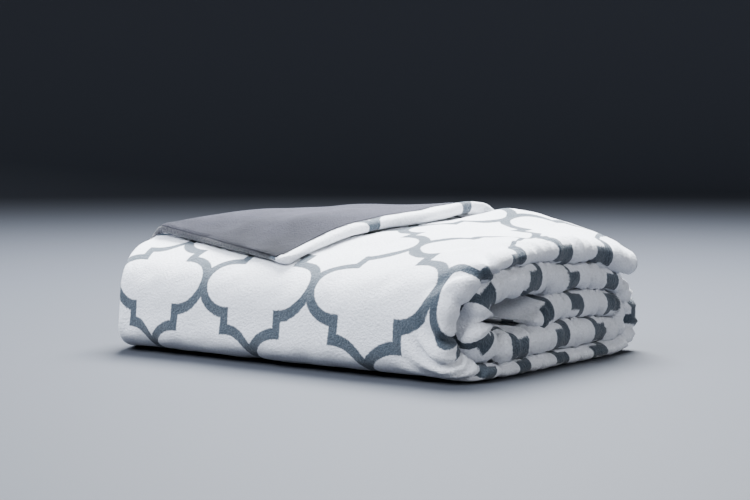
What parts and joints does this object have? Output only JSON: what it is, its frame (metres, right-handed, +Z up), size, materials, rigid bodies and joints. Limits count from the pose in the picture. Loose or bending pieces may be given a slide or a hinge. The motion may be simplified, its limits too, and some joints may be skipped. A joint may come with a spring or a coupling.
{
  "type": "weighted blanket",
  "caption": "Weighted blanket, folded in half and rolled up flat, with one upper corner turned back to show its plain reverse.",
  "frame": {"origin": "on the floor, under the middle of the rolled blanket", "axes": "+X along the roll towards the folded edges, -Y the front (the side of the outer turn that the picture shows), +Z up"},
  "size_m": [0.6132, 0.4478, 0.2005],
  "materials": {
    "printed_plush": "short-pile plush, white with a grey quatrefoil trellis print",
    "reverse_plush": "short-pile plush, plain charcoal",
    "reverse_plush_bared": "short-pile plush, plain charcoal"
  },
  "bodies": {
    "root": {"filled_blanket": "printed_plush", "reverse_turned": "reverse_plush", "reverse_bared": "reverse_plush_bared"}
  },
  "joints": []
}
